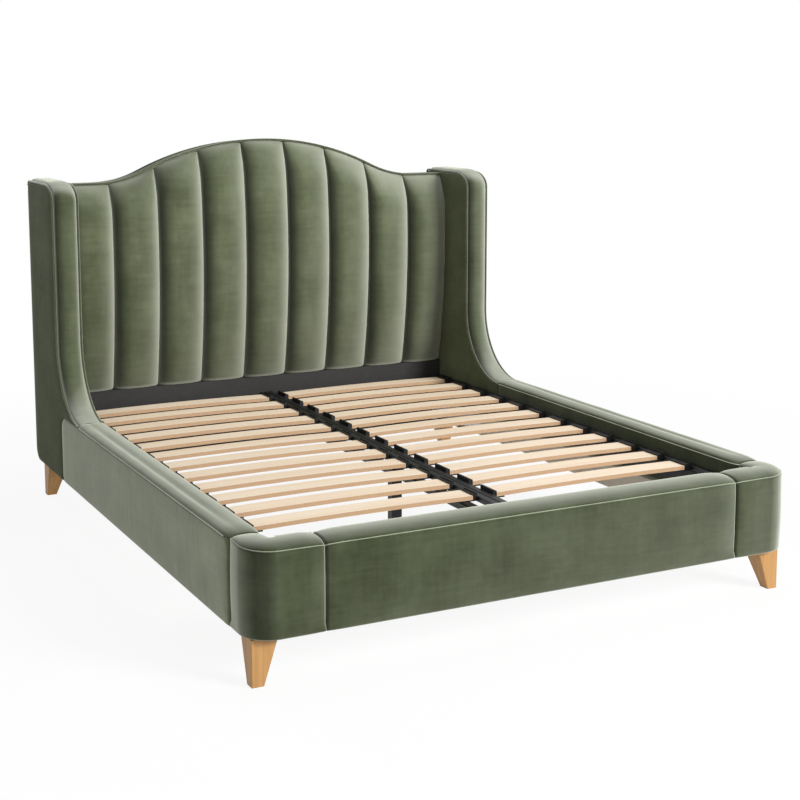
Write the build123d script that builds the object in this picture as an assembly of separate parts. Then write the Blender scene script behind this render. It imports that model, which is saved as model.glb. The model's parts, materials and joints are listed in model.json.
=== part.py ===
"""Upholstered wingback double bed with a channelled headboard and a slatted base.

The origin is on the floor at the middle of the bed. X runs across the bed, Y towards the
headboard and Z up. All sizes are in millimetres. Pieces are drawn on the right side, where X
is positive, and mirrored to the left.
"""
import os
from math import acos, asin, atan, cos, degrees, sin

from build123d import *

# Outer size of the bed
bed_length = 2250
bed_width = 1820
underside_height = 135
rail_height = 260
wing_height = 1230
peak_height = 1363
shoulder_height = 1206

# Outline and count of the headboard
shoulder_reach = 680
crown_share = 0.709
channel_count = 9

# Walls of the bed, with their timber and padding
footboard_thickness = 80
side_thickness = 98
headboard_thickness = 144
footboard_core_thickness = 32
side_core_thickness = 50
outer_padding = 34
band_thickness = 22
panel_thickness = 18
batten_depth = 40
batten_width = 50
back_cover_thickness = 6
bare_board_height = 91

# Upholstery of the low frame
corner_radius = 90
corner_seam_front = 220
corner_seam_side = 158
outer_edge_radius = 26
inner_edge_radius = 20
under_edge_chamfer = 5
seam_chamfer = 3
bevel_shares = (0.634, 0.25)

# Wings
wing_depth = 365
wing_seam_depth = 393
wing_nose_radius = 60
wing_heel_radius = 50
swoop_radius = 256
wing_tip_height = 4
rail_seam_radius = 25
band_crown = 7
band_crown_shares = ((0.1, 0.4), (0.3, 0.9), (0.7, 0.9), (0.9, 0.4))
piping_radius = 3.2
piping_sides = 6

# Headboard upholstery
channel_crown = 22
channel_crown_shares = ((0.06, 0.42), (0.2, 0.78), (0.38, 0.97), (0.62, 0.97), (0.8, 0.78), (0.94, 0.42))
pad_swell = 55
pad_full_rise = 527
headboard_piping_radius = 4
pad_overhang = 8
base_board_height = 268

# Slats, their holders and the bars that carry them
slat_width = 76
slat_thickness = 13
slat_bow = 4
slat_crown_height = 345
slat_pitch = 148
first_slat_from_foot = 388
last_slat_margin = 60
frame_bar_width = 26
frame_bar_height = 18
frame_bar_wall = 1.5
tube_edge = 3
tube_corner_share = 0.586
frame_top_height = 338
frame_groove = 3
frame_end_gap = 2
holder_block = 14.5
side_holder_block = 28
holder_floor_length = 28
holder_floor = 4
holder_rise = 5
holder_tab_rise = 4
holder_tab_thickness = 6
ledger_width = 26
ledger_height = 56
end_bar_height = 9

# Support under the middle of the base
support_bar_width = 36
support_bar_height = 26
support_bar_wall = 2
support_bar_top = 286
support_leg_from_foot = 957
support_leg_width = 38
support_leg_wall = 2
support_leg_plate_length = 78
saddle_length = 40
saddle_wall = 3
rows_per_saddle = 3
bar_seat_wall = 3
bar_seat_depth = 40
foot_travel = 15
foot_pad_radius = 18
foot_pad_height = 12
foot_pad_edge_chamfer = 2
foot_neck = 1
foot_sides = 24
foot_stem_radius = 5
foot_stem_length = 62
leg_insert_height = 16

# Legs and steel fixings
leg_top = 78
leg_bottom = 36
leg_edge_chamfer = 1.5
leg_inset_side = 18
leg_inset_end = 40
leg_plate_size = 62
leg_plate_thickness = 3
leg_bolt_radius = 4
leg_bolt_in_leg = 45
leg_bolt_in_frame = 40
bracket_flange = 56
bracket_height = 70
bracket_thickness = 3
bracket_lift = 10
joining_plate_length = 150
fastener_sides = 6
screw_radius = 3
screw_length = 22
screw_head_radius = 6
screw_head_height = 3
screw_edge = 18
hole_clearance = 0.2
fit_clearance = 0.3
overrun = 5
touch = 0.05

# Places worked out from the sizes above
foot_y = -bed_length / 2
head_y = bed_length / 2
side_x = bed_width / 2
rail_top = underside_height + rail_height
core_top = rail_top - band_thickness
footboard_inner_y = foot_y + footboard_thickness
footboard_core_y = foot_y + outer_padding
side_core_start_y = footboard_core_y + footboard_core_thickness
side_inner_x = side_x - side_thickness
core_outer_x = side_x - outer_padding
core_inner_x = core_outer_x - side_core_thickness
bare_board_top = underside_height + bare_board_height
corner_seam_y = foot_y + corner_seam_side
corner_seam_x = side_x - corner_seam_front

wing_front_y = head_y - wing_depth
wing_seam_y = head_y - wing_seam_depth
swoop_end_y = wing_front_y - swoop_radius
swoop_centre_z = rail_top + swoop_radius

panel_back_y = head_y - back_cover_thickness - batten_depth
panel_front_y = panel_back_y - panel_thickness
pad_front_y = head_y - headboard_thickness
pad_edge_y = pad_front_y + channel_crown
base_board_top = underside_height + base_board_height
base_board_y = pad_front_y + pad_overhang
pad_radius = (pad_full_rise ** 2 + pad_swell ** 2) / (2 * pad_swell)
pad_full_height = base_board_top + pad_full_rise
pad_full_y = pad_edge_y - pad_swell
arch_turn = 2 * atan((peak_height - shoulder_height) / shoulder_reach)
arch_radii = shoulder_reach / sin(arch_turn)
crown_radius = crown_share * arch_radii
shoulder_radius = arch_radii - crown_radius

frame_bar_inner_x = frame_groove / 2
frame_bar_under = frame_top_height - frame_bar_height
frame_start_y = footboard_inner_y + inner_edge_radius + frame_end_gap
frame_end_y = base_board_y - frame_end_gap
slat_start_x = frame_bar_inner_x + frame_bar_width + holder_block
slat_end_x = side_inner_x - frame_bar_width - side_holder_block
slat_length = slat_end_x - slat_start_x
slat_end_top = slat_crown_height - slat_bow
slat_end_under = slat_end_top - slat_thickness
first_slat_y = foot_y + first_slat_from_foot
slat_rows = int((base_board_y - last_slat_margin - first_slat_y) / slat_pitch) + 1
slat_places = [first_slat_y + slat_pitch * row for row in range(slat_rows)]
saddle_places = slat_places[rows_per_saddle // 2::rows_per_saddle]

leg_height = underside_height - leg_plate_thickness
leg_x = side_x - leg_inset_side - leg_top / 2
leg_y = head_y - leg_inset_end - leg_top / 2
support_leg_y = foot_y + support_leg_from_foot
support_bar_under = support_bar_top - support_bar_height
support_leg_under = foot_pad_height + foot_neck + foot_travel
support_leg_top = support_bar_under - leg_plate_thickness


def block(x0, x1, y0, y1, z0, z1):
    """A plain block between two corners."""
    middle = Pos((x0 + x1) / 2, (y0 + y1) / 2, (z0 + z1) / 2)
    return middle * Box(abs(x1 - x0), abs(y1 - y0), abs(z1 - z0))


def across(face, x0, x1):
    """A face drawn in Y and Z, made solid between two places along X."""
    return extrude(Plane.YZ.offset(min(x0, x1)) * face, amount=abs(x1 - x0))


def along(face, y0, y1):
    """A face drawn in X and Z, made solid between two places along Y."""
    return extrude(Plane.XZ.offset(-max(y0, y1)) * face, amount=abs(y1 - y0))


def above(face, z0, z1):
    """A face drawn in X and Y, made solid between two heights."""
    return extrude(Plane.XY.offset(z0) * face, amount=z1 - z0)


def rod(radius, length):
    """A fastener's bar along Z, with few sides to keep its mesh light."""
    return extrude(RegularPolygon(radius, fastener_sides), amount=length / 2, both=True)


def turned(radius, length):
    """A turned piece of the levelling foot along Z, with flats few enough for a light mesh."""
    return extrude(RegularPolygon(radius, foot_sides), amount=length / 2, both=True)


def upright(bar, x, y, z0):
    """A bar along Z, stood with its lower end at a place."""
    return Pos(x, y, z0 - bar.bounding_box().min.Z) * bar


def tube_face(width, height, wall):
    """Section of a thin-walled tube whose corners are cut by flats."""
    return tube_outline(width, height, tube_edge) - tube_bore(width, height, wall)


def tube_outline(width, height, edge):
    face = Rectangle(width, height)
    return chamfer(face.vertices(), edge)


def tube_bore(width, height, wall):
    """What a tube's wall leaves open, with the same thickness at the corners."""
    return tube_outline(width - 2 * wall, height - 2 * wall, tube_edge - tube_corner_share * wall)


def mirrored(solid, side):
    """The solid as drawn on the right side, +1, or mirrored to the left, -1."""
    return solid if side > 0 else mirror(solid, about=Plane.YZ)


def save(shape, node):
    """Write one node, which is one solid or a group of separate solids."""
    shapes = shape if isinstance(shape, list) else [shape]
    solids = [solid for each in shapes for solid in each.solids()]
    whole = solids[0] if len(solids) == 1 else Compound(children=solids)
    whole.label = node
    export_step(whole, f"parts/{node}.step")


def turn_in_seam(solid, axis, place):
    """Turn the cloth in at a seam, all round the flat end there."""
    outline = solid.edges().filter_by_position(axis, place - touch, place + touch)
    return chamfer(outline, seam_chamfer)


def corner_near(face, place):
    """The corner of a face that is nearest to a point."""
    return face.vertices().sort_by_distance(place)[0]


def round_corner(face, place, radius):
    return fillet(corner_near(face, place), radius)


def bevel_corner(face, place, radius):
    """A corner of a face cut by three flats that follow a rounding of a radius."""
    first, second = (share * radius for share in bevel_shares)
    face = chamfer(corner_near(face, place), first)
    return chamfer(face.vertices().sort_by_distance(place)[:2], second)


# Screws and their holes


class Screw:
    """A round-headed screw through a steel plate into the timber behind it."""

    def __init__(self, x, y, z, into):
        self.place = Plane(origin=(x, y, z), z_dir=into)

    def solid(self):
        head = Pos(0, 0, -screw_head_height / 2) * rod(screw_head_radius, screw_head_height)
        shank = Pos(0, 0, screw_length / 2) * rod(screw_radius, screw_length)
        return self.place * (head + shank)

    def hole(self):
        depth = screw_length + fit_clearance
        return self.place * Pos(0, 0, depth / 2) * rod(screw_radius + hole_clearance, depth)


bracket_low = underside_height + bracket_lift
bracket_high = bracket_low + bracket_height
screw_levels = (bracket_low + screw_edge, bracket_high - screw_edge)
flange_middle = bracket_flange / 2 + bracket_thickness / 2
foot_screws = [Screw(core_inner_x - flange_middle, side_core_start_y + bracket_thickness, z, (0, -1, 0))
               for z in screw_levels]
rail_screws = [Screw(core_inner_x - bracket_thickness, side_core_start_y + flange_middle, z, (1, 0, 0))
               for z in screw_levels]
board_screws = [Screw(core_inner_x - flange_middle, base_board_y - bracket_thickness, z, (0, 1, 0))
                for z in screw_levels]
wing_screws = [Screw(core_inner_x - bracket_thickness, base_board_y - flange_middle, z, (1, 0, 0))
               for z in screw_levels]
joint_reach = joining_plate_length / 2 - screw_edge
rail_plate_screws = [Screw(core_inner_x - bracket_thickness, wing_seam_y - joint_reach, z, (1, 0, 0))
                     for z in screw_levels]
wing_plate_screws = [Screw(core_inner_x - bracket_thickness, wing_seam_y + joint_reach, z, (1, 0, 0))
                     for z in screw_levels]
all_screws = (foot_screws + rail_screws + board_screws + wing_screws + rail_plate_screws
              + wing_plate_screws)


def drilled(solid, screws):
    for screw in screws:
        solid = solid - screw.hole()
    return solid


def leg_bolt_hole(y):
    top = underside_height + leg_bolt_in_frame + fit_clearance
    bottom = leg_height - leg_bolt_in_leg - fit_clearance
    return upright(rod(leg_bolt_radius + hole_clearance, top - bottom), leg_x, y, bottom)


# Low frame


def wall_section(outer, inner):
    """Section of a padded wall, in one direction and Z, from its outer to its inner face."""
    middle = Pos((outer + inner) / 2, underside_height + rail_height / 2)
    face = middle * Rectangle(abs(outer - inner), rail_height)
    face = bevel_corner(face, (outer, rail_top), outer_edge_radius)
    face = bevel_corner(face, (inner, rail_top), inner_edge_radius)
    return chamfer(corner_near(face, (outer, underside_height)), under_edge_chamfer)


def bare_board_space(y0, y1):
    """The inner face of a side is left bare below the cloth's edge."""
    return block(side_inner_x - overrun, core_inner_x, y0, y1, underside_height - overrun,
                 bare_board_top)


def footboard_core_block():
    return block(-core_outer_x, core_outer_x, footboard_core_y, side_core_start_y,
                 underside_height, core_top)


def side_core_block():
    middle = Pos((side_core_start_y + wing_seam_y) / 2, (underside_height + core_top) / 2)
    face = middle * Rectangle(wing_seam_y - side_core_start_y, core_top - underside_height)
    face = round_corner(face, (wing_seam_y, core_top), rail_seam_radius)
    return across(face, core_inner_x, core_outer_x)


def footboard_core():
    core = footboard_core_block()
    for side in (1, -1):
        for screw in foot_screws:
            core = core - mirrored(screw.hole(), side)
    return core


def side_core():
    core = side_core_block() - leg_bolt_hole(-leg_y)
    return drilled(core, rail_screws + rail_plate_screws)


def footboard_cover():
    """The long middle pad of the footboard, open below round its board."""
    pad = across(wall_section(foot_y, footboard_inner_y), -corner_seam_x, corner_seam_x)
    pad = turn_in_seam(pad, Axis.X, corner_seam_x)
    pad = turn_in_seam(pad, Axis.X, -corner_seam_x)
    bare = block(-side_x, side_x, side_core_start_y, footboard_inner_y + overrun,
                 underside_height - overrun, bare_board_top)
    return pad - footboard_core_block() - bare


def footboard_corner():
    """Padding that turns the corner from the footboard to the side rail."""
    plan = Polyline(
        (corner_seam_x, foot_y), (side_x, foot_y), (side_x, corner_seam_y),
        (side_inner_x, corner_seam_y), (side_inner_x, footboard_inner_y),
        (corner_seam_x, footboard_inner_y), close=True,
    )
    face = round_corner(make_face(plan), (side_x, foot_y), corner_radius)
    pad = above(face, underside_height, rail_top)
    for inner, radius in ((True, inner_edge_radius), (False, outer_edge_radius)):
        first, second = (share * radius for share in bevel_shares)
        pad = chamfer(corner_edges(pad, rail_top, inner), first)
        pad = chamfer(corner_edges(pad, rail_top, inner), second)
        pad = chamfer(corner_edges(pad, rail_top - first, inner), second)
    pad = chamfer(corner_edges(pad, underside_height, False), under_edge_chamfer)
    pad = turn_in_seam(pad, Axis.X, corner_seam_x)
    pad = turn_in_seam(pad, Axis.Y, corner_seam_y)
    bare = block(corner_seam_x - overrun, core_inner_x, side_core_start_y, corner_seam_y + overrun,
                 underside_height - overrun, bare_board_top)
    return pad - footboard_core_block() - side_core_block() - bare


def corner_edges(pad, height, inner):
    """Edges of the corner pad at one height, along its inner or its outer faces."""
    chosen = []
    for edge in pad.edges().filter_by_position(Axis.Z, height - touch, height + touch):
        middle = edge.center()
        at_seam = min(abs(middle.X - corner_seam_x), abs(middle.Y - corner_seam_y)) < touch
        depth = min(middle.Y - foot_y, side_x - middle.X)
        if not at_seam and (depth > footboard_thickness / 2) == inner:
            chosen.append(edge)
    return chosen


def rail_cover():
    """Cloth and padding of the side rail, which runs on under the foot of the wing."""
    pad = along(wall_section(side_x, side_inner_x), corner_seam_y, swoop_end_y)
    pad = turn_in_seam(pad, Axis.Y, corner_seam_y)
    middle = Pos((swoop_end_y + wing_seam_y) / 2, (underside_height + core_top) / 2)
    tail = middle * Rectangle(wing_seam_y - swoop_end_y, core_top - underside_height)
    tail = round_corner(tail, (wing_seam_y, core_top), rail_seam_radius)
    pad = pad + across(tail, side_inner_x, side_x)
    return pad - side_core_block() - bare_board_space(corner_seam_y - overrun, wing_seam_y + overrun)


# Wings


def wing_face():
    """Outline of the wing in Y and Z, under the band along its top and front edge."""
    top = wing_height - band_thickness
    front = wing_front_y + band_thickness
    nose = wing_nose_radius - band_thickness
    sweep_radius = swoop_radius + band_thickness
    tip = acos(1 - wing_tip_height / sweep_radius)
    half = (acos(0) + tip) / 2
    low = swoop_centre_z - sweep_radius
    start = (swoop_end_y + sweep_radius * sin(tip), swoop_centre_z - sweep_radius * cos(tip))
    middle = (swoop_end_y + sweep_radius * sin(half), swoop_centre_z - sweep_radius * cos(half))
    edges = [
        Line((wing_seam_y - rail_seam_radius, low), (start[0], low)),
        Line((start[0], low), start),
        ThreePointArc(start, middle, (front, swoop_centre_z)),
        Line((front, swoop_centre_z), (front, top - nose)),
        RadiusArc((front, top - nose), (front + nose, top), nose),
        Line((front + nose, top), (head_y, top)),
        Line((head_y, top), (head_y, underside_height + wing_heel_radius)),
        RadiusArc((head_y, underside_height + wing_heel_radius),
                  (head_y - wing_heel_radius, underside_height), wing_heel_radius),
        Line((head_y - wing_heel_radius, underside_height), (wing_seam_y, underside_height)),
        Line((wing_seam_y, underside_height), (wing_seam_y, low - rail_seam_radius)),
        RadiusArc((wing_seam_y, low - rail_seam_radius), (wing_seam_y - rail_seam_radius, low),
                  -rail_seam_radius),
    ]
    return make_face(Wire(edges))


def carried_round(section, x):
    """A section carried along the wing's top, nose, front and swoop. Its Y points away from them."""
    nose_y = wing_front_y + wing_nose_radius
    nose_z = wing_height - wing_nose_radius
    level = Plane(origin=(x, head_y, wing_height), x_dir=(1, 0, 0), z_dir=(0, -1, 0))
    bend = Plane(origin=(x, nose_y, wing_height), x_dir=(1, 0, 0), z_dir=(0, -1, 0))
    front = Plane(origin=(x, wing_front_y, nose_z), x_dir=(1, 0, 0), z_dir=(0, 0, -1))
    foot = Plane(origin=(x, wing_front_y, swoop_centre_z), x_dir=(1, 0, 0), z_dir=(0, 0, -1))
    quarter = degrees(acos(0))
    run = extrude(level * section, amount=head_y - nose_y)
    run = run + revolve(bend * section, Axis((0, nose_y, nose_z), (1, 0, 0)), quarter)
    run = run + extrude(front * section, amount=nose_z - swoop_centre_z)
    return run + revolve(foot * section, Axis((0, swoop_end_y, swoop_centre_z), (-1, 0, 0)), quarter)


def wing_core():
    """The wing's timber frame, which stands behind the side rail."""
    core = across(wing_face(), core_inner_x, core_outer_x)
    back = block(core_inner_x - overrun, core_outer_x + overrun, head_y - back_cover_thickness,
                 head_y + overrun, underside_height - overrun, wing_height)
    core = core - back - leg_bolt_hole(leg_y)
    core = drilled(core, wing_screws + wing_plate_screws)
    for bolt in wing_bolts():
        core = core - bolt.hole()
    return core


def wing_outer_pad():
    """Padding and cloth on the outer side, turned round the back of the timber."""
    back = block(side_inner_x, core_outer_x, head_y - back_cover_thickness, head_y,
                 underside_height + wing_heel_radius, wing_height - band_thickness)
    return across(wing_face(), core_outer_x, side_x) + back


def wing_inner_pad():
    """Padding and cloth on the inner side, as far back as the headboard's panel."""
    pad = across(wing_face(), side_inner_x, core_inner_x)
    back = block(side_inner_x - overrun, core_inner_x, head_y - back_cover_thickness,
                 head_y + overrun, underside_height - overrun, wing_height)
    panel = block(side_inner_x - overrun, core_inner_x, panel_front_y, head_y,
                  underside_height - overrun, shoulder_height - back_cover_thickness)
    bare = bare_board_space(wing_seam_y - overrun, head_y)
    return pad - back - panel - bare


def wing_band():
    """Crowned strip of padding along the wing's edge, with a groove each side for the piping."""
    half = side_thickness / 2
    notch = 2 * piping_radius
    shoulder = -band_crown
    crown = crown_points(half - notch, notch - half, shoulder, 0, band_crown_shares)
    outline = Polyline(
        (-half, -band_thickness), (half, -band_thickness), (half, shoulder - notch),
        (half - notch, shoulder - notch), *crown, (notch - half, shoulder - notch),
        (-half, shoulder - notch), close=True,
    )
    section = make_face(outline)
    return carried_round(section, side_x - half)


def crown_points(start, end, base, crest, shares):
    """Points of a crowned line between two ends of a base line, by shares of its width and rise."""
    inner = [(start + (end - start) * part, base + (crest - base) * rise) for part, rise in shares]
    return [(start, base), *inner, (end, base)]


def cord(path, radius):
    """Piping along a path, with few sides to keep its mesh light."""
    start = Plane(origin=path @ 0, z_dir=path % 0)
    return sweep(start * RegularPolygon(radius, piping_sides), path=path)


def wing_piping(x):
    """Corded edge that lies in the band's groove."""
    section = Pos(0, -band_crown - piping_radius) * RegularPolygon(piping_radius, piping_sides)
    return carried_round(section, x)


def wing_pipings():
    return [wing_piping(side_x - piping_radius), wing_piping(side_inner_x + piping_radius)]


# Headboard


def arch_edges(inset):
    """The headboard's top line from left to right, in X and Z, set in by a depth."""
    top = peak_height - inset
    rise = crown_radius - inset
    dip = shoulder_radius + inset
    crown_z = peak_height - crown_radius
    dip_z = shoulder_height + shoulder_radius
    turn_x = rise * sin(arch_turn)
    turn_z = crown_z + rise * cos(arch_turn)
    mid_x = shoulder_reach - dip * sin(arch_turn / 2)
    mid_z = dip_z - dip * cos(arch_turn / 2)
    low = shoulder_height - inset
    return [
        ThreePointArc((-shoulder_reach, low), (-mid_x, mid_z), (-turn_x, turn_z)),
        ThreePointArc((-turn_x, turn_z), (0, top), (turn_x, turn_z)),
        ThreePointArc((turn_x, turn_z), (mid_x, mid_z), (shoulder_reach, low)),
    ]


def arch_face(inset, reach, bottom):
    """The headboard's outline, out to a reach each side and down to a height."""
    low = shoulder_height - inset
    edges = [
        Line((-reach, bottom), (-reach, low)),
        Line((-reach, low), (-shoulder_reach, low)),
        *arch_edges(inset),
        Line((shoulder_reach, low), (reach, low)),
        Line((reach, low), (reach, bottom)),
        Line((reach, bottom), (-reach, bottom)),
    ]
    return make_face(Wire(edges))


class WingBolt:
    """A bolt from the wing's timber into the headboard's upright."""

    def __init__(self, z):
        self.y = panel_back_y + batten_depth / 2
        self.z = z

    def bar(self, radius, x0, x1):
        across_bed = Plane(origin=((x0 + x1) / 2, self.y, self.z), z_dir=(1, 0, 0))
        return across_bed * rod(radius, abs(x1 - x0))

    def solid(self):
        head_x = core_outer_x - screw_head_height
        head = self.bar(2 * leg_bolt_radius, head_x, core_outer_x)
        return head + self.bar(leg_bolt_radius, core_inner_x - leg_bolt_in_frame, head_x)

    def hole(self):
        radius = leg_bolt_radius + hole_clearance
        end = core_inner_x - leg_bolt_in_frame - fit_clearance
        sink_x = core_outer_x - screw_head_height - fit_clearance
        sink = self.bar(2 * leg_bolt_radius + hole_clearance, sink_x, core_outer_x + overrun)
        return sink + self.bar(radius, end, sink_x)


def wing_bolts():
    low = base_board_top
    high = shoulder_height - 2 * batten_width
    return [WingBolt(z) for z in (low, (low + high) / 2, high)]


def headboard_panel():
    face = arch_face(back_cover_thickness, core_inner_x, underside_height)
    return along(face, panel_front_y, panel_back_y)


def headboard_battens():
    """Uprights at the sides and rails across the back of the panel."""
    top = shoulder_height - back_cover_thickness
    back = panel_back_y + batten_depth
    inner = core_inner_x - batten_width
    upright_batten = block(inner, core_inner_x, panel_back_y, back, underside_height, top)
    for bolt in wing_bolts():
        upright_batten = upright_batten - bolt.hole()
    levels = [underside_height, base_board_top, (base_board_top + top) / 2, top - batten_width]
    rails = [block(-inner, inner, panel_back_y, back, z, z + batten_width) for z in levels]
    return [upright_batten, mirrored(upright_batten, -1), *rails]


def channel(number):
    """One crowned channel of the padded front, which bows out between the board and the arch."""
    pitch = 2 * side_inner_x / channel_count
    left = -side_inner_x + pitch * number
    right = left + pitch
    back = panel_front_y + overrun
    crest = pad_full_y - channel_crown
    front = crown_points(right, left, pad_full_y, crest, channel_crown_shares)
    section = make_face(Polyline((left, back), (right, back), *front, close=True))
    low = swell_turn(pad_full_rise + overrun)
    high = swell_turn(peak_height - pad_full_height + overrun)
    hinge = Axis((0, pad_full_y + pad_radius, pad_full_height), (-1, 0, 0))
    start = (Plane.XY.offset(pad_full_height) * section).rotate(hinge, -low)
    pad = revolve(start, hinge, low + high)
    arch = along(arch_face(back_cover_thickness, side_inner_x, base_board_top),
                 crest - overrun, panel_front_y)
    return pad & arch


def swell_turn(rise):
    """Turn in degrees that carries the back of the padding's section up by a rise."""
    return degrees(asin(rise / (pad_radius - (panel_front_y + overrun - pad_full_y))))


def headboard_cover():
    """Cloth over the back and the top edge of the headboard."""
    outer = along(arch_face(0, side_inner_x, underside_height), pad_edge_y, head_y)
    inner = along(arch_face(back_cover_thickness, side_inner_x, underside_height),
                  pad_edge_y, head_y - back_cover_thickness)
    return outer - inner


def headboard_piping():
    depth = back_cover_thickness - headboard_piping_radius
    low = shoulder_height - depth
    edges = [
        Line((-side_inner_x, low), (-shoulder_reach, low)),
        *arch_edges(depth),
        Line((shoulder_reach, low), (side_inner_x, low)),
    ]
    path = Plane.XZ.offset(headboard_piping_radius - pad_edge_y) * Wire(edges)
    return cord(path, headboard_piping_radius)


def base_board():
    """Dark board between the wings, under the channels."""
    board = block(-side_inner_x, side_inner_x, base_board_y, panel_front_y, underside_height,
                  base_board_top)
    for side in (1, -1):
        for screw in board_screws:
            board = board - mirrored(screw.hole(), side)
    return board


# Slatted base


def frame_bar(inner_x):
    """A thin-walled tube of flat section, as long as the base."""
    middle = Pos(inner_x + frame_bar_width / 2, frame_bar_under + frame_bar_height / 2)
    face = middle * tube_face(frame_bar_width, frame_bar_height, frame_bar_wall)
    return along(face, frame_start_y, frame_end_y)


def end_bars():
    """Cross bars that join the tubes at the foot and at the head."""
    near = frame_bar_inner_x + frame_bar_width
    far = side_inner_x - frame_bar_width
    low = frame_bar_under
    high = low + end_bar_height
    foot = block(near, far, frame_start_y, frame_start_y + frame_bar_width, low, high)
    head = block(near, far, frame_end_y - frame_bar_width, frame_end_y, low, high)
    return [mirrored(bar, side) for side in (-1, 1) for bar in (foot, head)]


def slat(y):
    """A thin sprung slat, bowed upwards between its two holders."""
    middle_x = (slat_start_x + slat_end_x) / 2
    start = slat_start_x + fit_clearance
    end = slat_end_x - fit_clearance
    upper = slat_end_top
    lower = slat_end_under
    face = make_face(Wire([
        ThreePointArc((start, upper), (middle_x, upper + slat_bow), (end, upper)),
        Line((end, upper), (end, lower)),
        ThreePointArc((end, lower), (middle_x, lower + slat_bow), (start, lower)),
        Line((start, lower), (start, upper)),
    ]))
    return along(face, y - slat_width / 2, y + slat_width / 2)


def holder(bar_face_x, slat_x, y):
    """Moulded cap between a tube's side and the end of a slat, which lies on its floor."""
    inwards = 1 if slat_x > bar_face_x else -1
    half = slat_width / 2
    floor_z = slat_end_under - holder_floor
    tip_x = slat_x + inwards * holder_floor_length
    tab_x = bar_face_x + inwards * holder_tab_thickness
    top = slat_end_top + holder_rise
    body = block(bar_face_x, slat_x, y - half, y + half, floor_z, top)
    tab = block(bar_face_x, tab_x, y - half, y + half, top, top + holder_tab_rise)
    floor = block(slat_x, tip_x, y - half, y + half, floor_z, slat_end_under)
    return body + tab + floor


def side_holders():
    return [holder(side_inner_x - frame_bar_width, slat_end_x, y) for y in slat_places]


def centre_holders():
    right = [holder(frame_bar_inner_x + frame_bar_width, slat_start_x, y) for y in slat_places]
    return right + [mirrored(each, -1) for each in right]


def ledger():
    """Batten on the side rail that carries the base's outer tube."""
    return block(side_inner_x - ledger_width, side_inner_x, frame_start_y, frame_end_y,
                 frame_bar_under - ledger_height, frame_bar_under)


# Support under the middle


def support_bar():
    """Steel tube from the footboard to the base board."""
    middle = Pos(0, (support_bar_top + support_bar_under) / 2)
    face = middle * tube_face(support_bar_width, support_bar_height, support_bar_wall)
    return along(face, footboard_inner_y + bar_seat_wall, base_board_y - bar_seat_wall)


def bar_seat(wall_y, inwards):
    """Folded steel seat that holds an end of the support bar."""
    half = support_bar_width / 2 + fit_clearance
    wide = half + bar_seat_wall
    low = support_bar_under - bar_seat_wall
    front = wall_y + inwards * bar_seat_wall
    end = wall_y + inwards * bar_seat_depth
    plate = block(-wide, wide, wall_y, front, low, support_bar_top)
    floor = block(-wide, wide, front, end, low, support_bar_under)
    left = block(-wide, -half, front, end, support_bar_under, support_bar_top)
    right = block(half, wide, front, end, support_bar_under, support_bar_top)
    return plate + floor + left + right


def saddle(y):
    """Folded steel spacer between the support bar and the two middle tubes."""
    base = support_bar_width / 2
    reach = frame_bar_inner_x + frame_bar_width
    inner = base - saddle_wall
    plan = Polyline(
        (-base, support_bar_top), (base, support_bar_top), (base, support_bar_top + saddle_wall),
        (inner, support_bar_top + saddle_wall), (inner, frame_bar_under - saddle_wall),
        (reach, frame_bar_under - saddle_wall), (reach, frame_bar_under),
        (-reach, frame_bar_under), (-reach, frame_bar_under - saddle_wall),
        (-inner, frame_bar_under - saddle_wall), (-inner, support_bar_top + saddle_wall),
        (-base, support_bar_top + saddle_wall), close=True,
    )
    hollow_z = (support_bar_top + frame_bar_under) / 2
    hollow = Pos(0, hollow_z) * Rectangle(2 * (inner - saddle_wall),
                                          frame_bar_under - support_bar_top - 2 * saddle_wall)
    return along(make_face(plan) - hollow, y - saddle_length / 2, y + saddle_length / 2)


def support_leg():
    """Square tube under the support bar, with a plate at its top."""
    middle = Pos(0, support_leg_y)
    face = middle * tube_face(support_leg_width, support_leg_width, support_leg_wall)
    tube = above(face, support_leg_under, support_leg_top)
    plate = block(-support_bar_width / 2, support_bar_width / 2,
                  support_leg_y - support_leg_plate_length / 2,
                  support_leg_y + support_leg_plate_length / 2, support_leg_top, support_bar_under)
    return tube + plate


def leg_insert():
    """Plastic plug in the tube's foot, bored for the stem."""
    face = Pos(0, support_leg_y) * tube_bore(support_leg_width, support_leg_width, support_leg_wall)
    plug = above(face, support_leg_under, support_leg_under + leg_insert_height)
    bore = turned(foot_stem_radius + fit_clearance / 2, leg_insert_height + 2 * overrun)
    return plug - upright(bore, 0, support_leg_y, support_leg_under - overrun)


def levelling_foot():
    """Round foot on a screwed stem, which turns up into the leg."""
    pad = upright(turned(foot_pad_radius, foot_pad_height), 0, support_leg_y, 0)
    pad = chamfer(pad.edges().group_by(Axis.Z)[-1], foot_pad_edge_chamfer)
    stem = turned(foot_stem_radius, foot_stem_length)
    return pad + upright(stem, 0, support_leg_y, foot_pad_height)


# Legs and fixings


def leg_outline(outer):
    """Tapered outline of a leg, upright on its outer side, in one direction and Z."""
    return Polyline((outer, 0), (outer, leg_height), (outer - leg_top, leg_height),
                    (outer - leg_bottom, 0), close=True)


def leg(end):
    """Oak leg whose outer two faces stand upright and whose inner two taper."""
    outer_x = leg_x + leg_top / 2
    outer_y = leg_y + leg_top / 2
    front = make_face(leg_outline(outer_x))
    side = make_face(leg_outline(outer_y))
    body = along(front, outer_y - leg_top, outer_y) & across(side, outer_x - leg_top, outer_x)
    if end < 0:
        body = mirror(body, about=Plane.XZ)
    slopes = [edge for edge in body.edges() if abs(edge.tangent_at(0).Z) > cos(acos(0) / 2)]
    body = chamfer(slopes, leg_edge_chamfer)
    return body - leg_bolt_hole(end * leg_y)


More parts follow.
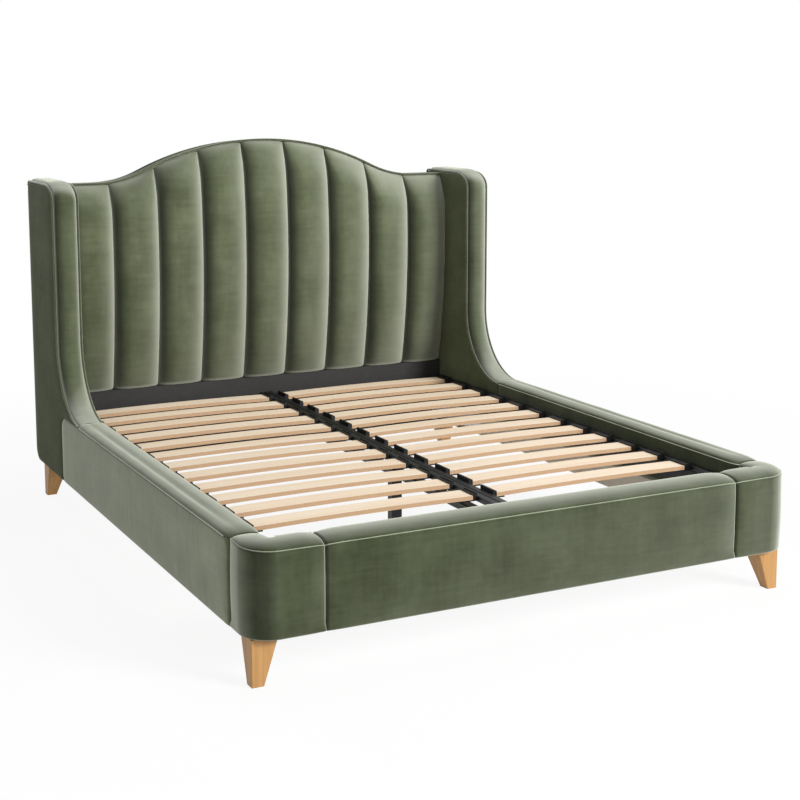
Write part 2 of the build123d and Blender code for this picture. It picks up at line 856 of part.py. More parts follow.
def leg_plate(end):
    half = leg_plate_size / 2
    y = end * leg_y
    plate = block(leg_x - half, leg_x + half, y - half, y + half, leg_height, underside_height)
    return plate - leg_bolt_hole(y)


def leg_bolt(end):
    low = leg_height - leg_bolt_in_leg
    length = underside_height + leg_bolt_in_frame - low
    return upright(rod(leg_bolt_radius, length), leg_x, end * leg_y, low)


def bracket(corner_y, away):
    """Steel angle in an inner corner of the frame, from its end wall along the side."""
    x = core_inner_x
    thin = bracket_thickness
    plan = Polyline(
        (x, corner_y), (x, corner_y + away * bracket_flange),
        (x - thin, corner_y + away * bracket_flange), (x - thin, corner_y + away * thin),
        (x - bracket_flange, corner_y + away * thin), (x - bracket_flange, corner_y), close=True,
    )
    return above(make_face(plan), bracket_low, bracket_high)


def joining_plate():
    """Steel strap across the joint of the side rail and the wing."""
    reach = joining_plate_length / 2
    return block(core_inner_x - bracket_thickness, core_inner_x, wing_seam_y - reach,
                 wing_seam_y + reach, bracket_low, bracket_high)


os.makedirs("parts", exist_ok=True)

save(footboard_core(), "footboard_core")
save(footboard_cover(), "footboard_cover")
save(headboard_panel(), "headboard_panel")
save(headboard_battens(), "headboard_battens")
save(headboard_cover(), "headboard_cover")
save(headboard_piping(), "headboard_piping")
save(base_board(), "headboard_base_board")
for number in range(channel_count):
    save(channel(number), f"headboard_channel_{number + 1}")

rail_piece = side_core()
rail_cloth = rail_cover()
corner_piece = footboard_corner()
wing_pieces = {"wing_core": wing_core(), "wing_outer_pad": wing_outer_pad(),
               "wing_inner_pad": wing_inner_pad(), "wing_band": wing_band()}
pipings = wing_pipings()
slats = [slat(y) for y in slat_places]
caps = side_holders()
for side, name in ((-1, "left"), (1, "right")):
    save(mirrored(rail_piece, side), f"{name}_rail_core")
    save(mirrored(rail_cloth, side), f"{name}_rail_cover")
    save(mirrored(corner_piece, side), f"{name}_footboard_corner")
    for piece, solid in wing_pieces.items():
        save(mirrored(solid, side), f"{name}_{piece}")
    save([mirrored(cord, side) for cord in pipings], f"{name}_wing_piping")
    save(mirrored(ledger(), side), f"{name}_ledger")
    save([mirrored(board, side) for board in slats], f"{name}_slats")
    save([mirrored(cap, side) for cap in caps], f"{name}_slat_holders")
    save(mirrored(frame_bar(frame_bar_inner_x), side), f"{name}_frame_inner_bar")
    save(mirrored(frame_bar(side_inner_x - frame_bar_width), side), f"{name}_frame_outer_bar")
    for end, place in ((-1, "foot"), (1, "head")):
        save(mirrored(leg(end), side), f"{name}_{place}_leg")
save(centre_holders(), "centre_slat_holders")
save(end_bars(), "frame_end_bars")

save(support_bar(), "support_bar")
save([bar_seat(footboard_inner_y, 1), bar_seat(base_board_y, -1)], "support_bar_seats")
save([saddle(y) for y in saddle_places], "support_saddles")
save(support_leg(), "support_leg")
save(leg_insert(), "support_leg_insert")
save(levelling_foot(), "levelling_foot")

corners = [(side, end) for side in (-1, 1) for end in (-1, 1)]
save([mirrored(leg_plate(end), side) for side, end in corners], "leg_plates")
save([mirrored(leg_bolt(end), side) for side, end in corners], "leg_bolts")
angles = [drilled(bracket(side_core_start_y, 1), foot_screws + rail_screws),
          drilled(bracket(base_board_y, -1), board_screws + wing_screws)]
straps = drilled(joining_plate(), rail_plate_screws + wing_plate_screws)
save([mirrored(angle, side) for side in (-1, 1) for angle in angles], "corner_brackets")
save([mirrored(straps, side) for side in (-1, 1)], "wing_joining_plates")
save([mirrored(screw.solid(), side) for side in (-1, 1) for screw in all_screws], "bracket_screws")
save([mirrored(bolt.solid(), side) for side in (-1, 1) for bolt in wing_bolts()], "wing_bolts")
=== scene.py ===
"""Looks of the wingback bed: velvet pads, seams, cords, timber, light and camera.

Everything is in metres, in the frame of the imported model, with the floor at zero and the
headboard towards +Y. Pieces are drawn on the right side and mirrored to the left.
"""
import json
from math import ceil, pi, radians

import bmesh
import bpy
import numpy as np
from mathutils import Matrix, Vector, noise
from mathutils.geometry import delaunay_2d_cdt


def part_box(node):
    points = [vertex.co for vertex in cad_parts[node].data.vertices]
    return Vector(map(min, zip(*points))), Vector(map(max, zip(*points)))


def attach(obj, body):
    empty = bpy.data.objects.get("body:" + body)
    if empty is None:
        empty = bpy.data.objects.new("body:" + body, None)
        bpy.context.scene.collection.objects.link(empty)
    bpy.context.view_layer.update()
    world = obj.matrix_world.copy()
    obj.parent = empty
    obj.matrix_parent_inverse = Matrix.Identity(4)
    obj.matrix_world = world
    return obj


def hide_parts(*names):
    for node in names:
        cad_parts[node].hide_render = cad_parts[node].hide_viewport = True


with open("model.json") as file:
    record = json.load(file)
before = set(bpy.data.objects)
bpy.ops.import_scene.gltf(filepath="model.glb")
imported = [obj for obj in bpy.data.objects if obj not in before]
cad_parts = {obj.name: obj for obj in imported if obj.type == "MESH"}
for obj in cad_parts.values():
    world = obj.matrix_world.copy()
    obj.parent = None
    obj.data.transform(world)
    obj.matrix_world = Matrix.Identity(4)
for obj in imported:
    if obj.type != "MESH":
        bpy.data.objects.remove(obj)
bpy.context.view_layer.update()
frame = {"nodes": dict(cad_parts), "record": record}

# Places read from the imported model
rail_low, rail_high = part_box("right_rail_cover")
foot_low, foot_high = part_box("footboard_cover")
band_low, band_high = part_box("right_wing_band")
_, board_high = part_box("headboard_base_board")
panel_low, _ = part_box("headboard_panel")
cover_low, cover_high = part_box("headboard_cover")
side_x = rail_high.x
side_inner_x = rail_low.x
underside = rail_low.z
rail_top = rail_high.z
foot_y = foot_low.y
foot_inner_y = foot_high.y
corner_seam_x = foot_high.x
corner_seam_y = rail_low.y
wing_seam_y = rail_high.y
swoop_end_y = band_low.y
wing_top = band_high.z
head_y = cover_high.y
peak = cover_high.z
pad_edge_y = cover_low.y
pad_foot = board_high.z
panel_front_y = panel_low.y

# Seams, edges and padding that all pieces share
bend_count = 7
broad_swells = 7
fine_swells = 17
seam_radius = 0.009
seam_reach = 0.07
seam_fall = 0.007
panel_edge_radius = 0.005
cloth_depth = 0.006
no_bend = 0.001
close_step = 0.012

# Footboard, its corners and the rails
bare_board = 0.226
corner_radius = 0.090
corner_inner_radius = 0.012
foot_roll = 0.028
rail_roll = 0.014
roll_fullness = 2.3
foot_overhang = 0.040
overhang_lip = 0.352
overhang_end_shares = (0.35, 0.95)
under_edge_radius = 0.006
under_wrap = 0.030
under_level = 0.020
under_drop_share = 0.15
face_swell = 0.0025

# Crease along a rail's top: depth, place over the wall's thickness, width, and fading ends
rail_crease = 0.0042
rail_crease_share = 0.4
rail_crease_width = 0.0115
rail_crease_start = 0.3
rail_crease_end = 0.35
rail_crease_rest = 0.3

# Counts of points along a wall's section, from its inner foot over the roll to its underside
inner_count = 6
lip_count = 5
roll_count = 40
face_count = 13
wrap_count = 3
welt_step = 36
roll_start = inner_count + lip_count
roll_end = roll_start + roll_count + 1
welt_mark = roll_start + welt_step

# Outer panels and linings
panel_gap = 0.0185
panel_depth = 0.012
rail_seam_radius = 0.045
rail_panel_edge = 0.004
lining_step = 0.026
lining_gap = 0.006
edge_probe = 0.0005
edge_shares = (0.08, 0.3, 0.6, 1.0)
reach_shares = (0.12, 0.3, 0.6, 1.0)
ring_share = 0.97

# Wings and their bands
swoop_radius = 0.256
nose_length = 0.115
nose_height = 0.072
top_heel_radius = 0.030
heel_radius = 0.050
back_seam_radius = 0.003
back_strip_gap = 0.02
straight_step = 0.03
band_crown = 0.016
band_edge_share = 0.96
band_fullness = 2.3
band_depth = 0.022
band_start_radius = 0.006
band_step = 0.006
band_back_fall = 0.13
band_back_drop = 0.007
band_bumps = 0.0009

# Crease across a band's foot: depth, distance from its end, slant, width, middle and reach
band_crease = 0.0028
band_crease_place = 0.085
band_crease_slant = 0.012
band_crease_width = 0.007
band_crease_middle = -0.25
band_crease_reach = 0.5

# Headboard: outline, cloth over its top edge, and channels
shoulder_height = 1.206
shoulder_reach = 0.680
crown_share = 0.709
arch_inset = 0.006
arch_count = 121
arch_step = 0.015
top_slope = 0.004
arch_slope = 0.010
arch_slope_rise = 0.05
top_hem_radius = 0.008
back_cloth_inset = 0.001
back_cloth_depth = 0.0045
channel_count = 9
channel_crown = 0.031
channel_fullness = 2.4
channel_softness = 0.55
channel_sink = 0.007
channel_top_sink = 0.004
channel_bumps = 0.0012
channel_roll_reach = 0.13
channel_roll_loss = 0.55
channel_end_reach = 0.045
channel_foot_reach = 0.016
channel_foot_turn = 0.012
channel_overlap = 0.002
channel_rows = 36
channel_edge_shares = np.array([0, 0.006, 0.02, 0.045])
channel_middle_shares = np.linspace(0.08, 0.92, 21)
channel_foot_steps = (0, 0.0015, 0.005, 0.010, 0.016)
channel_top_steps = (0.12, 0.1, 0.082, 0.066, 0.052, 0.04, 0.03, 0.022, 0.015, 0.01, 0.006,
                     0.003, 0.0012, 0)
pad_swell = 0.055
pad_full_rise = 0.527

# Cords, welts and stitches
cord_radius = 0.0038
cord_sink = 0.0032
cord_depth = 0.0135
cord_step = 0.01
arch_cord_radius = 0.004
welt_radius = 0.0014
welt_sink = 0.0016
welt_lift = 1.2
rail_welt_depth = 0.0158
rail_welt_sink = 0.0006
rail_welt_lift = 0.4
rail_welt_gap = 0.002
tube_sides = 10
tube_start = (0.3, 0.5, 0.8)
stitch_length = 0.0062
stitch_gap = 0.0022
stitch_radius = 0.0007
stitch_offset = 0.0078
stitch_lift = 0.0004
stitch_runs = 4
stitch_sides = 5
stitch_seam_gap = 0.012

# Camera, floor and light; each lamp has its place, target, size and power
camera_place = (-2.2942, -4.6674, 1.5887)
camera_yaw = 27.13
camera_pitch = 8.327
camera_lens = 68.351
camera_shift = (0.0028, -0.12)
floor_half = 14
floor_fade = (1.4, 3.4)
floor_glow = (0.9, 1.0)
sky_strength = 0.18
lamps = {
    "key_lamp": ((4.55, -7.8, 4.4), (0, 0.3, 0.6), 3.4, 1180),
    "top_lamp": ((0.4, 0.4, 4.4), (0, 0, 0.4), 3.0, 45),
    "fill_lamp": ((-4.6, -4.0, 2.4), (0, -0.2, 0.4), 2.6, 66),
    "back_lamp": ((-1.5, 6.5, 2.4), (0, 1.1, 0.6), 3.0, 110),
}


# Lines and lattices


def arc(centre, radius, start, end, count):
    """Points on an arc between two turns, in degrees."""
    turn = np.radians(np.linspace(start, end, count))
    return np.stack([centre[0] + radius * np.cos(turn), centre[1] + radius * np.sin(turn)], 1)


def stretch(start, end, count):
    """A given number of points on a straight run, without its last point."""
    share = np.arange(count)[:, None] / count
    return np.asarray(start) + (np.asarray(end) - np.asarray(start)) * share


def line(start, end, step=0.02):
    """Points on a straight run, evenly spaced, without its last point."""
    return stretch(start, end, max(1, ceil(np.hypot(end[0] - start[0], end[1] - start[1]) / step)))


def runs(points):
    """Distance along a line at each of its points."""
    return np.concatenate([[0], np.cumsum(np.linalg.norm(np.diff(points, axis=0), axis=1))])


def at_places(points, places):
    """Points of a line at given distances along it."""
    run = runs(points)
    return np.stack([np.interp(places, run, column) for column in points.T], 1)


def resampled(points, step):
    """The same line with even steps between its points."""
    points = np.asarray(points)
    length = runs(points)[-1]
    return at_places(points, np.linspace(0, length, ceil(length / step) + 1))


def right_hand(points):
    """Unit vectors at the right of a line in a plane, seen along it."""
    along = np.gradient(points, axis=0)
    along /= np.linalg.norm(along, axis=1)[:, None]
    return np.stack([along[:, 1], -along[:, 0]], 1)


def eased(share):
    """A share from 0 to 1 that starts and ends slowly."""
    return share ** 2 * (3 - 2 * share)


def turned_in(distance, radius):
    """How far cloth has dropped at a distance from the seam that turns it in."""
    rest = np.clip(1 - np.asarray(distance) / radius, 0, 1)
    return radius * (1 - np.sqrt(1 - rest ** 2))


def seam_turn(distance):
    """Drop of a padded wall near its seam: a turned-in edge and a gentle fall towards it."""
    rest = np.clip(1 - np.asarray(distance) / seam_reach, 0, 1)
    return turned_in(distance, seam_radius) + seam_fall * rest ** 2


def seam_steps(length, first, last, step=0.022):
    """Places along a run, close together at its ends, where the cloth turns in."""
    bends = 1 - np.cos(np.linspace(0, pi / 2, bend_count))
    count = max(2, ceil((length - first - last) / step)) + 1
    middle = np.linspace(first, length - last, count)
    return np.concatenate([first * bends[:-1], middle, length - last * bends[-2::-1]])


def unevenness(points, height=0.0007):
    """Slight swells of hand-laid padding, the same on every run."""
    swell = [noise.noise(place * broad_swells) + 0.5 * noise.noise(place * fine_swells)
             for place in map(Vector, points)]
    return height * np.array(swell)


# Pieces


def new_piece(name, points, faces, material, slot, replaced=(), body="bed"):
    """A mesh that rides on a body and stands for its nodes."""
    mesh = bpy.data.meshes.new(name)
    mesh.from_pydata(np.asarray(points).tolist(), [], faces)
    shape = bmesh.new()
    shape.from_mesh(mesh)
    bmesh.ops.remove_doubles(shape, verts=shape.verts, dist=1e-6)
    bmesh.ops.recalc_face_normals(shape, faces=shape.faces)
    for face in shape.faces:
        face.smooth = True
    shape.to_mesh(mesh)
    shape.free()
    mesh.materials.append(material)
    made = bpy.data.objects.new(name, mesh)
    bpy.context.collection.objects.link(made)
    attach(made, body)
    if replaced:
        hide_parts(*replaced)
    return made


def padded_piece(name, points, faces, material, replaced):
    """A velvet piece with padding inside."""
    made = new_piece(name, points, faces, material, "velvet", replaced)


def mirrored(points, side):
    """Points as drawn on the right, +1, or mirrored to the left, -1."""
    points = np.array(points, float)
    points[..., 0] *= side
    return points


def ring_faces(rows, wide):
    """Faces between rows of points, each of which closes on itself."""
    faces = []
    for row in range(rows - 1):
        for column in range(wide):
            near = (column + 1) % wide
            faces.append((row * wide + column, row * wide + near,
                          (row + 1) * wide + near, (row + 1) * wide + column))
    return faces


def folded_strip(name, outer, inner, material, replaced=(), side=1):
    """A padded piece between an outer lattice of points and an inner one under it."""
    loops = mirrored(np.concatenate([np.array(outer), np.array(inner)[:, ::-1]], 1), side)
    rows, wide, _ = loops.shape
    faces = ring_faces(rows, wide)
    for row in (0, rows - 1):
        for column in range(wide // 2 - 1):
            faces.append((row * wide + column, row * wide + column + 1,
                          row * wide + wide - 2 - column, row * wide + wide - 1 - column))
    padded_piece(name, loops.reshape(-1, 3), faces, material, replaced)


def tube(path, radius, sides=tube_sides):
    """Points and faces of a round cord along a line of points."""
    path = np.asarray(path, float)
    along = np.gradient(path, axis=0)
    along /= np.linalg.norm(along, axis=1)[:, None]
    across = np.cross(along[0], tube_start)
    turn = np.arange(sides)[:, None] * 2 * pi / sides
    rings = []
    for place, ahead in zip(path, along):
        across = across - ahead * np.dot(across, ahead)
        across /= np.linalg.norm(across)
        upward = np.cross(ahead, across)
        rings.append(place + radius * (np.cos(turn) * across + np.sin(turn) * upward))
    points = np.concatenate(rings)
    caps = [tuple(range(sides)), tuple(range(len(points) - sides, len(points)))]
    return points, caps + ring_faces(len(path), sides)


def joined(parts):
    """Several point and face lists as one."""
    points, faces, count = [], [], 0
    for some_points, some_faces in parts:
        points.append(some_points)
        faces += [tuple(index + count for index in face) for face in some_faces]
        count += len(some_points)
    return np.concatenate(points), faces


def cords(name, paths, radius, material, replaced=()):
    """One piece of round cords along several routes."""
    points, faces = joined([tube(path, radius) for path in paths])
    new_piece(name, points, faces, material, "velvet_piping", replaced)


def stitches(name, paths, material):
    """Rows of short thread stitches that lie on the cloth."""
    step = stitch_length / stitch_runs
    stride = round((stitch_length + stitch_gap) / step)
    parts = []
    for path in paths:
        fine = resampled(path, step)
        for start in range(0, len(fine) - stitch_runs, stride):
            parts.append(tube(fine[start:start + stitch_runs + 1], stitch_radius, stitch_sides))
    new_piece(name, *joined(parts), material, "velvet_piping")


# Padded walls of the low frame


def wall_profile(thickness, roll, overhang=0.0, crease=0.0):
    """Section of a padded wall, from its inner foot over its rolled top to the underside: depth
    from the outer face, height, and outward direction."""
    rise = np.linspace(0, 1, lip_count + 1)[:-1]
    lip = np.column_stack([thickness + overhang * eased(rise),
                           overhang_lip + (rail_top - roll - overhang_lip) * rise])
    half = (thickness + overhang) / 2
    turn = np.linspace(0, pi, roll_count + 1)[:-1]
    power = 2 / roll_fullness
    over = np.column_stack([half + half * np.sign(np.cos(turn)) * np.abs(np.cos(turn)) ** power,
                            rail_top - roll + roll * np.abs(np.sin(turn)) ** power])
    from_crease = (over[:, 0] - rail_crease_share * thickness) / rail_crease_width
    over[:, 1] -= crease * np.exp(-from_crease ** 2)
    edge = under_edge_radius
    points = np.concatenate([
        stretch((thickness, bare_board), (thickness, overhang_lip), inner_count),
        lip,
        over,
        stretch((0, rail_top - roll), (0, underside + edge), face_count),
        arc((edge, underside + edge), edge, 180, 270, 5)[:-1],
        stretch((edge, underside), (under_wrap, underside), wrap_count),
    ])
    return points, right_hand(points)


def seam_drop(points, drop):
    """A seam's drop along a wall's section, less on its underside, which lies flat."""
    return drop * np.clip((points[:, 1] - underside) / under_level, under_drop_share, 1)


def face_crown(points):
    """Slight swell of the outer face between its top and bottom edges."""
    share = np.clip((points[:, 1] - underside) / (rail_top - underside), 0, 1)
    return face_swell * np.sin(pi * share) * (points[:, 0] < 0.001)


def padded_walls(name, outside, inward, thickness, rolls, overhangs, drops, cloth, replaced,
                 side=1):
    """A padded wall whose outer edge runs through given places, and the route of its welt."""
    outer, inner, welt = [], [], []
    for place, way, thick, roll, overhang, drop in zip(
            outside, inward, thickness, rolls, overhangs, drops):
        points, normals = wall_profile(thick, roll, overhang)
        points = points + normals * (face_crown(points) - seam_drop(points, drop))[:, None]
        points[welt_mark] -= normals[welt_mark] * welt_sink
        face = np.column_stack([place + way * points[:, :1], points[:, 1]])
        face[:, :2] += normals[:, :1] * way * unevenness(face)[:, None]
        deep = points - normals * cloth_depth
        outer.append(face)
        inner.append(np.column_stack([place + way * deep[:, :1], deep[:, 1]]))
        outward = np.append(way * normals[welt_mark, 0], normals[welt_mark, 1])
        welt.append(face[welt_mark] + outward * welt_radius * welt_lift)
    folded_strip(name, outer, inner, cloth, replaced, side)
    return mirrored(welt, side)


def footboard_pad(cloth):
    """The long middle pad of the footboard."""
    places = seam_steps(2 * corner_seam_x, seam_radius, seam_radius) - corner_seam_x
    drops = seam_turn(corner_seam_x - np.abs(places))
    same = np.ones(len(places))
    outside = np.column_stack([places, same * foot_y])
    inward = np.tile((0.0, 1.0), (len(places), 1))
    return padded_walls("footboard_pad", outside, inward, same * (foot_inner_y - foot_y),
                        same * foot_roll, same * foot_overhang, drops, cloth, ["footboard_cover"])


def corner_pad(side, cloth):
    """Pad that turns the corner from the footboard to the rail."""
    radius = corner_radius
    small = corner_inner_radius
    front = seam_steps(side_x - radius - corner_seam_x, seam_radius, no_bend, close_step)
    back = seam_steps(corner_seam_y - foot_y - radius, no_bend, seam_radius, close_step)
    outside = np.concatenate([
        np.column_stack([corner_seam_x + front, np.full(len(front), foot_y)])[:-1],
        arc((side_x - radius, foot_y + radius), radius, -90, 0, 25),
        np.column_stack([np.full(len(back), side_x), foot_y + radius + back])[1:],
    ])
    inner_x = side_inner_x - small
    inner_y = foot_inner_y + small
    inside = np.concatenate([
        np.column_stack([corner_seam_x + front / front[-1] * (inner_x - corner_seam_x),
                         np.full(len(front), foot_inner_y)])[:-1],
        arc((inner_x, inner_y), small, -90, 0, 25),
        np.column_stack([np.full(len(back), side_inner_x),
                         inner_y + back / back[-1] * (corner_seam_y - inner_y)])[1:],
    ])
    thick = np.linalg.norm(inside - outside, axis=1)
    inward = (inside - outside) / thick[:, None]
    run = runs(outside)
    drops = seam_turn(np.minimum(run, run[-1] - run))
    share = run / run[-1]
    rolls = foot_roll + (rail_roll - foot_roll) * share ** 3
    start, end = overhang_end_shares
    overhangs = foot_overhang * (1 - eased(np.clip((share - start) / (end - start), 0, 1)))
    name = side_name(side)
    return padded_walls(f"{name}_corner_pad", outside, inward, thick, rolls, overhangs, drops,
                        cloth, [f"{name}_footboard_corner"], side)


def side_name(side):
    """The word for a side of the bed."""
    return "right" if side > 0 else "left"


def rail_top_pad(side, cloth):
    """Strip over the top and inner side of a rail, from the corner to the wing, and the route of
    the welt on its inner edge."""
    length = swoop_end_y - corner_seam_y
    outer, inner, seam = [], [], []
    for place in seam_steps(length, seam_radius, panel_edge_radius):
        fade_out = rail_crease_rest + (length - place) / rail_crease_end
        crease = rail_crease * min(1, place / rail_crease_start, fade_out)
        points, normals = wall_profile(side_x - side_inner_x, rail_roll, 0, crease)
        points, normals = points[:roll_end], normals[:roll_end]
        drop = seam_turn(place) + turned_in(length - place, panel_edge_radius)
        points = points - normals * drop
        ground = np.full(len(points), corner_seam_y + place)
        face = np.column_stack([side_x - points[:, 0], ground, points[:, 1]])
        bumps = unevenness(face)
        face[:, 0] -= normals[:, 0] * bumps
        face[:, 2] += normals[:, 1] * bumps
        deep = points - normals * cloth_depth
        outer.append(face)
        inner.append(np.column_stack([side_x - deep[:, 0], ground, deep[:, 1]]))
        seam.append(face[roll_start] - (welt_radius * rail_welt_lift, 0, 0))
    name = side_name(side)
    folded_strip(f"{name}_rail_top_pad", outer, inner, cloth, [f"{name}_rail_cover"], side)
    return mirrored(seam[1:-1], side)


# Padded panels of any outline


def to_outline(points, outline):
    """Distance of points to a closed outline, and whether each lies inside it."""
    reach = np.roll(outline, -1, axis=0) - outline
    nearest = np.full(len(points), np.inf)
    inside = np.zeros(len(points), bool)
    for begin, run in zip(outline, reach):
        gap = points - begin
        share = np.clip((gap @ run) / (run ** 2).sum(), 0, 1)
        nearest = np.minimum(nearest, np.linalg.norm(gap - share[:, None] * run, axis=1))
        crosses = (begin[1] > points[:, 1]) != (begin[1] + run[1] > points[:, 1])
        if run[1]:
            crosses &= points[:, 0] < begin[0] + run[0] * (points[:, 1] - begin[1]) / run[1]
            inside ^= crosses
    return nearest, inside


def panel_lattice(outline, edge, reach, spacing):
    """Points for a panel: its outline, rings close to it and a grid in the middle."""
    forward = np.roll(outline, -1, axis=0) - np.roll(outline, 1, axis=0)
    forward /= np.linalg.norm(forward, axis=1)[:, None]
    inward = np.stack([-forward[:, 1], forward[:, 0]], 1)
    _, inside = to_outline(outline + inward * edge_probe, outline)
    if inside.mean() < 0.5:
        inward *= -1
    insets = [edge * share for share in edge_shares]
    insets += [edge + (reach - edge) * share for share in reach_shares]
    kept = [outline]
    for inset in insets:
        ring = outline + inward * inset
        distance, inside = to_outline(ring, outline)
        kept.append(ring[inside & (distance > inset * ring_share)])
    across, upward = [np.arange(low + spacing / 2, high, spacing)
                      for low, high in zip(outline.min(0), outline.max(0))]
    grid = np.stack(np.meshgrid(across, upward), -1).reshape(-1, 2)
    distance, inside = to_outline(grid, outline)
    kept.append(grid[inside & (distance > reach + spacing / 3)])
    return np.concatenate(kept)


def padded_panel(name, outline, place, cloth, replaced, crown=0.004, reach=0.06, spacing=0.03,
                 edge=panel_edge_radius, depth=panel_depth):
    """A crowned panel with turned-in edges. place() puts its points (a, b, height) in the room."""
    count = len(outline)
    flat = [Vector(point) for point in panel_lattice(outline, edge, reach, spacing)]
    corners, _, faces, _, _, _ = delaunay_2d_cdt(flat, [], [list(range(count))], 1, 1e-6)
    flat = np.array([tuple(corner) for corner in corners])
    distance, _ = to_outline(flat, outline)
    share = np.clip(distance / reach, 0, 1)
    height = crown * (1 - (1 - share) ** 2) - turned_in(distance, edge)
    height = height + unevenness(np.column_stack([flat, flat[:, 0] * 0])) * share
    back = np.column_stack([outline, np.full(count, -depth)])
    rim = [int(np.argmin(np.hypot(*(flat - corner).T))) for corner in outline]
    faces = [tuple(face) for face in faces]
    for index in range(count):
        near = (index + 1) % count
        faces.append((rim[index], rim[near], len(flat) + near, len(flat) + index))
    faces.append(tuple(range(len(flat), len(flat) + count)))
    points = np.concatenate([np.column_stack([flat, height]), back])
    padded_piece(name, place(points), faces, cloth, replaced)


# Wings


def wing_path(inset):
    """Line over a wing from its back along the top, nose, front and swoop, in Y and height."""
    top = wing_top - inset
    front = swoop_end_y + swoop_radius + inset
    nose = np.array([nose_length, nose_height]) - inset
    turn = np.radians(np.linspace(90, 180, 15))
    centre = (swoop_end_y, rail_top + swoop_radius)
    heel = top_heel_radius - inset
    return np.concatenate([
        arc((head_y - heel, top - heel), heel, 0, 90, 9)[:-1],
        line((head_y - heel, top), (front + nose[0], top), straight_step),
        (front, top) + nose * np.column_stack([1 + np.cos(turn), np.sin(turn) - 1])[:-1],
        line((front, top - nose[1]), (front, centre[1]), straight_step),
        arc(centre, swoop_radius + inset, 0, -90, 29),
    ])


def raised(x, place, way, height):
    """A row of points over a place on a line in Y and height, moved along its way."""
    return np.column_stack([x, place[0] + way[0] * height, place[1] + way[1] * height])


def wing_band(side, cloth):
    """Crowned strip along the wing's top, front and swoop."""
    path = resampled(wing_path(0), close_step)
    length = runs(path)[-1]
    ends = seam_steps(length, band_start_radius, panel_edge_radius, close_step)
    path = at_places(path, ends)
    wide = side_x - side_inner_x - 2 * (cord_sink + cord_radius)
    across = seam_steps(wide, panel_edge_radius, panel_edge_radius, band_step)
    x = side_x - cord_sink - cord_radius - across
    share = 2 * across / wide - 1
    fullness = np.clip(1 - band_edge_share * np.abs(share) ** band_fullness, 0, 1)
    crown = band_crown * (np.sqrt(fullness) - 1)
    crown = crown - turned_in(np.minimum(across, wide - across), panel_edge_radius)
    crease_depth = band_crease * np.exp(-((share - band_crease_middle) / band_crease_reach) ** 2)
    crease_place = band_crease_place + band_crease_slant * share
    outer, inner = [], []
    for place, way, step in zip(path, right_hand(path), ends):
        drop = turned_in(step, band_start_radius) + turned_in(length - step, panel_edge_radius)
        full = 1 - np.clip(1 - step / band_back_fall, 0, 1) ** 2
        height = np.minimum(crown, band_back_drop * (full - 1)) - drop
        from_crease = (length - step - crease_place) / band_crease_width
        face = raised(x, place, way, height - crease_depth * np.exp(-from_crease ** 2))
        bumps = unevenness(face, band_bumps)
        face[:, 1] += way[0] * bumps
        face[:, 2] += way[1] * bumps
        outer.append(face)
        inner.append(raised(x, place, way, 0 * x - band_depth))
    name = side_name(side)
    folded_strip(f"{name}_band_pad", outer, inner, cloth, [f"{name}_wing_band"], side)


def back_strip(side, cloth):
    """Cloth down the back edge of a wing and round its heel."""
    centre = (head_y - heel_radius, underside + heel_radius)
    path = np.concatenate([
        line((head_y, wing_top - top_heel_radius), (head_y, centre[1]), straight_step),
        arc(centre, heel_radius, 0, -90, 13)[:-1],
        line((centre[0], underside), (wing_seam_y + back_strip_gap, underside), straight_step),
    ])
    wide = side_x - side_inner_x
    across = seam_steps(wide, panel_edge_radius, back_seam_radius, close_step)
    drop = turned_in(across, panel_edge_radius) + turned_in(wide - across, back_seam_radius)
    outer, inner = [[raised(side_x - across, place, way, drop + depth)
                     for place, way in zip(path, right_hand(path))] for depth in (0, cloth_depth)]
    folded_strip(f"{side_name(side)}_back_strip", outer, inner, cloth, side=side)


def rail_side_outline():
    """Outline of a rail's outer panel in Y and height, with its rounded upper back corner."""
    top = rail_top - panel_gap
    turn = rail_seam_radius
    return np.concatenate([
        line((corner_seam_y, underside), (wing_seam_y, underside)),
        line((wing_seam_y, underside), (wing_seam_y, top - turn)),
        arc((wing_seam_y - turn, top - turn), turn, 0, 90, 9)[:-1],
        line((wing_seam_y - turn, top), (corner_seam_y, top)),
        line((corner_seam_y, top), (corner_seam_y, underside)),
    ])


def wing_side_outline():
    """Outline of a wing's outer panel, which comes down behind the rail's."""
    top = rail_top - panel_gap
    turn = rail_seam_radius
    centre = (head_y - heel_radius, underside + heel_radius)
    return np.concatenate([
        resampled(wing_path(panel_gap), close_step)[:-1],
        line((swoop_end_y, top), (wing_seam_y - turn, top)),
        arc((wing_seam_y - turn, top - turn), turn, 90, 0, 9)[:-1],
        line((wing_seam_y, top - turn), (wing_seam_y, underside)),
        line((wing_seam_y, underside), (centre[0], underside)),
        arc(centre, heel_radius, -90, 0, 13)[:-1],
        line((head_y, centre[1]), (head_y, wing_top - top_heel_radius)),
    ])


def wing_inner_outline():
    """Outline of a wing's inner panel, from the rail to the headboard."""
    back = panel_front_y - lining_gap
    step = shoulder_height - lining_step
    return np.concatenate([
        resampled(wing_path(panel_gap), close_step)[:-1],
        line((swoop_end_y, rail_top - panel_gap), (swoop_end_y, bare_board)),
        line((swoop_end_y, bare_board), (back, bare_board)),
        line((back, bare_board), (back, step)),
        line((back, step), (head_y, step)),
        line((head_y, step), (head_y, wing_top - top_heel_radius), 0.01),
    ])


def on_side(side, x, outward):
    """Places panel points on a face of the bed's side, which looks outwards, +1, or inwards, -1."""
    def place(points):
        return mirrored(np.column_stack([x + outward * points[:, 2], points[:, :2]]), side)
    return place


def along_side(side, x, path):
    """A line in Y and height as a route in the room, at a distance from the bed's middle."""
    return mirrored(np.column_stack([np.full(len(path), x), path]), side)


